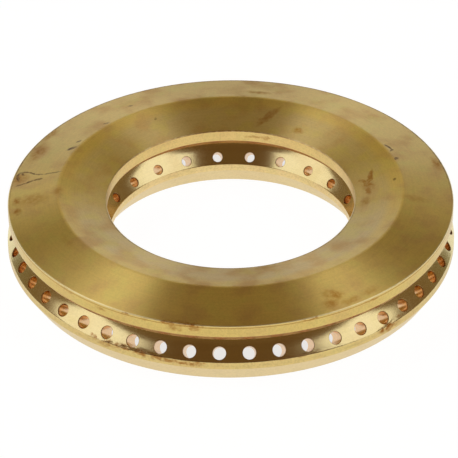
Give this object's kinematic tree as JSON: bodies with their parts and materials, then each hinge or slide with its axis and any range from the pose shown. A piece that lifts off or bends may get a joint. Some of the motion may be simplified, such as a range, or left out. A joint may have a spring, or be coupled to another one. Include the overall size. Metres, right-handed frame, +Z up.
{
  "type": "gas burner cap",
  "caption": "Heavy turned brass ring cap for a gas burner, with a gabled roof, drilled flame ports under both lips and an open gas channel underneath.",
  "frame": {"origin": "middle of the ring, on the plane of its two seat rings", "axes": "+Z up along the ring's axis, from the seats to the ridge; X and Y are any two radii"},
  "size_m": [0.1412, 0.1412, 0.0246],
  "materials": {
    "brass": "turned brass, used, with heat stains and small nicks"
  },
  "bodies": {
    "root": {"burner_cap": "brass"}
  },
  "joints": []
}
